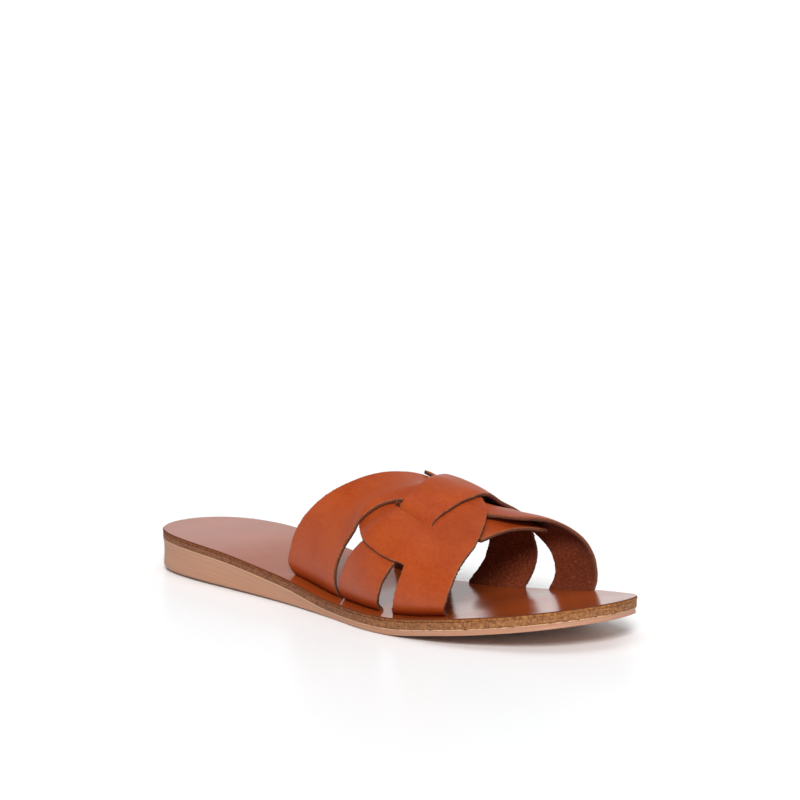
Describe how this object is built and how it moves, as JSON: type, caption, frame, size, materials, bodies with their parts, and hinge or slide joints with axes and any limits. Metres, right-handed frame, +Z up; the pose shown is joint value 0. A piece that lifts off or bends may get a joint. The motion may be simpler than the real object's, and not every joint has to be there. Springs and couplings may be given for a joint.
{
  "type": "mule sandal",
  "caption": "Flat leather mule sandal: woven instep straps as one hollow upper, slotted leather insole, fibre board midsole and a low wedge rubber outsole with toe spring.",
  "frame": {"origin": "on the floor, under the middle of the sandal's box", "axes": "+X towards the toe, -Y towards the outer side of the foot, +Z up"},
  "size_m": [0.2518, 0.0895, 0.0571],
  "materials": {
    "outsole_rubber": "matte",
    "fibre_board": "raw cut edge",
    "insole_leather": "polished",
    "strap_leather": "satin"
  },
  "bodies": {
    "root": {"outsole": "outsole_rubber", "midsole": "fibre_board", "insole": "insole_leather", "upper": "strap_leather"}
  },
  "joints": []
}
